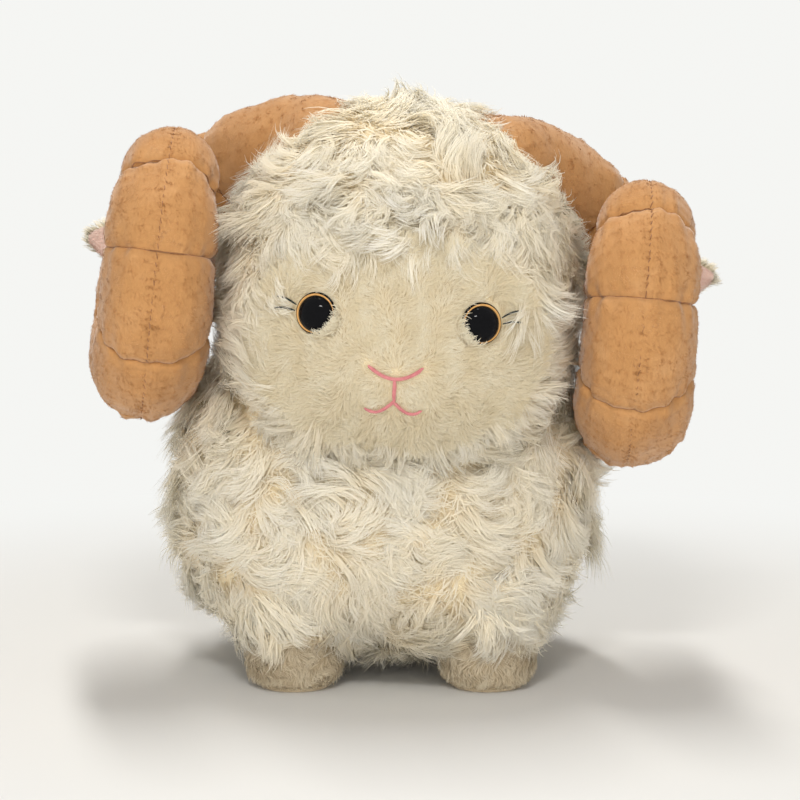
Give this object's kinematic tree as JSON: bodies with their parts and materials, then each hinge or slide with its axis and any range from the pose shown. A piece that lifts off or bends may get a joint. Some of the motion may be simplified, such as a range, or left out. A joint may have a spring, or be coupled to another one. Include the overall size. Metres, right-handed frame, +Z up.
{
  "type": "plush sheep",
  "caption": "Stuffed toy sheep with curly fleece, short-pile face and feet, safety eyes, sewn ram's horns that loop round its ears, and a tail.",
  "frame": {"origin": "on the ground, at the middle of the whole toy's outline seen from above", "axes": "+Z up, -Y the way the face looks, +X the sheep's own left"},
  "size_m": [0.2942, 0.2362, 0.2755],
  "materials": {
    "cream_fleece": "long curly pile, matt",
    "short_pile": "short brushed pile, matt",
    "tan_pile": "velvety short pile, soft sheen",
    "pink_pile": "velvety short pile",
    "black_gloss": "moulded, high gloss",
    "amber_gloss": "painted ring under gloss",
    "dark_thread": "embroidery thread",
    "pink_thread": "embroidery thread, slight sheen",
    "white_plastic": "moulded, matt",
    "fibre_fill": "loose polyester fibre",
    "pellet_cloth": "plain thin cloth bag of plastic pellets"
  },
  "bodies": {
    "sheep": {"body_cover": "cream_fleece", "body_stuffing": "fibre_fill", "pellet_bag": "pellet_cloth", "head_cover": "cream_fleece", "face_panel": "short_pile", "head_stuffing": "fibre_fill", "eye_left": "black_gloss", "iris_ring_left": "amber_gloss", "eye_washer_left": "white_plastic", "lash_upper_left": "dark_thread", "lash_lower_left": "dark_thread", "eye_right": "black_gloss", "iris_ring_right": "amber_gloss", "eye_washer_right": "white_plastic", "lash_upper_right": "dark_thread", "lash_lower_right": "dark_thread", "nose_stitch": "pink_thread", "lip_stitch": "pink_thread", "mouth_stitch": "pink_thread", "horn_panel_left_1": "tan_pile", "horn_panel_left_2": "tan_pile", "horn_panel_left_3": "tan_pile", "horn_panel_left_4": "tan_pile", "horn_panel_left_5": "tan_pile", "horn_panel_left_6": "tan_pile", "horn_panel_left_7": "tan_pile", "horn_panel_left_8": "tan_pile", "horn_stuffing_left": "fibre_fill", "horn_panel_right_1": "tan_pile", "horn_panel_right_2": "tan_pile", "horn_panel_right_3": "tan_pile", "horn_panel_right_4": "tan_pile", "horn_panel_right_5": "tan_pile", "horn_panel_right_6": "tan_pile", "horn_panel_right_7": "tan_pile", "horn_panel_right_8": "tan_pile", "horn_stuffing_right": "fibre_fill", "front_leg_left_cover": "short_pile", "front_leg_left_sole": "short_pile", "front_leg_left_stuffing": "fibre_fill", "front_leg_right_cover": "short_pile", "front_leg_right_sole": "short_pile", "front_leg_right_stuffing": "fibre_fill", "rear_leg_left_cover": "short_pile", "rear_leg_left_sole": "short_pile", "rear_leg_left_stuffing": "fibre_fill", "rear_leg_right_cover": "short_pile", "rear_leg_right_sole": "short_pile", "rear_leg_right_stuffing": "fibre_fill"},
    "ear_left": {"ear_back_left": "cream_fleece", "ear_lining_left": "pink_pile"},
    "ear_right": {"ear_back_right": "cream_fleece", "ear_lining_right": "pink_pile"},
    "tail": {"tail": "cream_fleece"}
  },
  "joints": [
    {"name": "ear_flop_left", "type": "hinge", "parent": "sheep", "child": "ear_left", "pos_m": [0.08395, -0.0225, 0.18522], "axis": [-0.086, -0.4067, 0.9095], "range_deg": [-15, 15], "stiffness_Nm_per_rad": 0.02},
    {"name": "ear_flop_right", "type": "hinge", "parent": "sheep", "child": "ear_right", "pos_m": [-0.08389, -0.0225, 0.19578], "axis": [0.1993, -0.4067, 0.8915], "range_deg": [-15, 15], "stiffness_Nm_per_rad": 0.02},
    {"name": "tail_lift", "type": "hinge", "parent": "sheep", "child": "tail", "pos_m": [-0.0085, 0.09986, 0.108], "axis": [1, 0, 0], "range_deg": [0, 35], "stiffness_Nm_per_rad": 0.01}
  ]
}
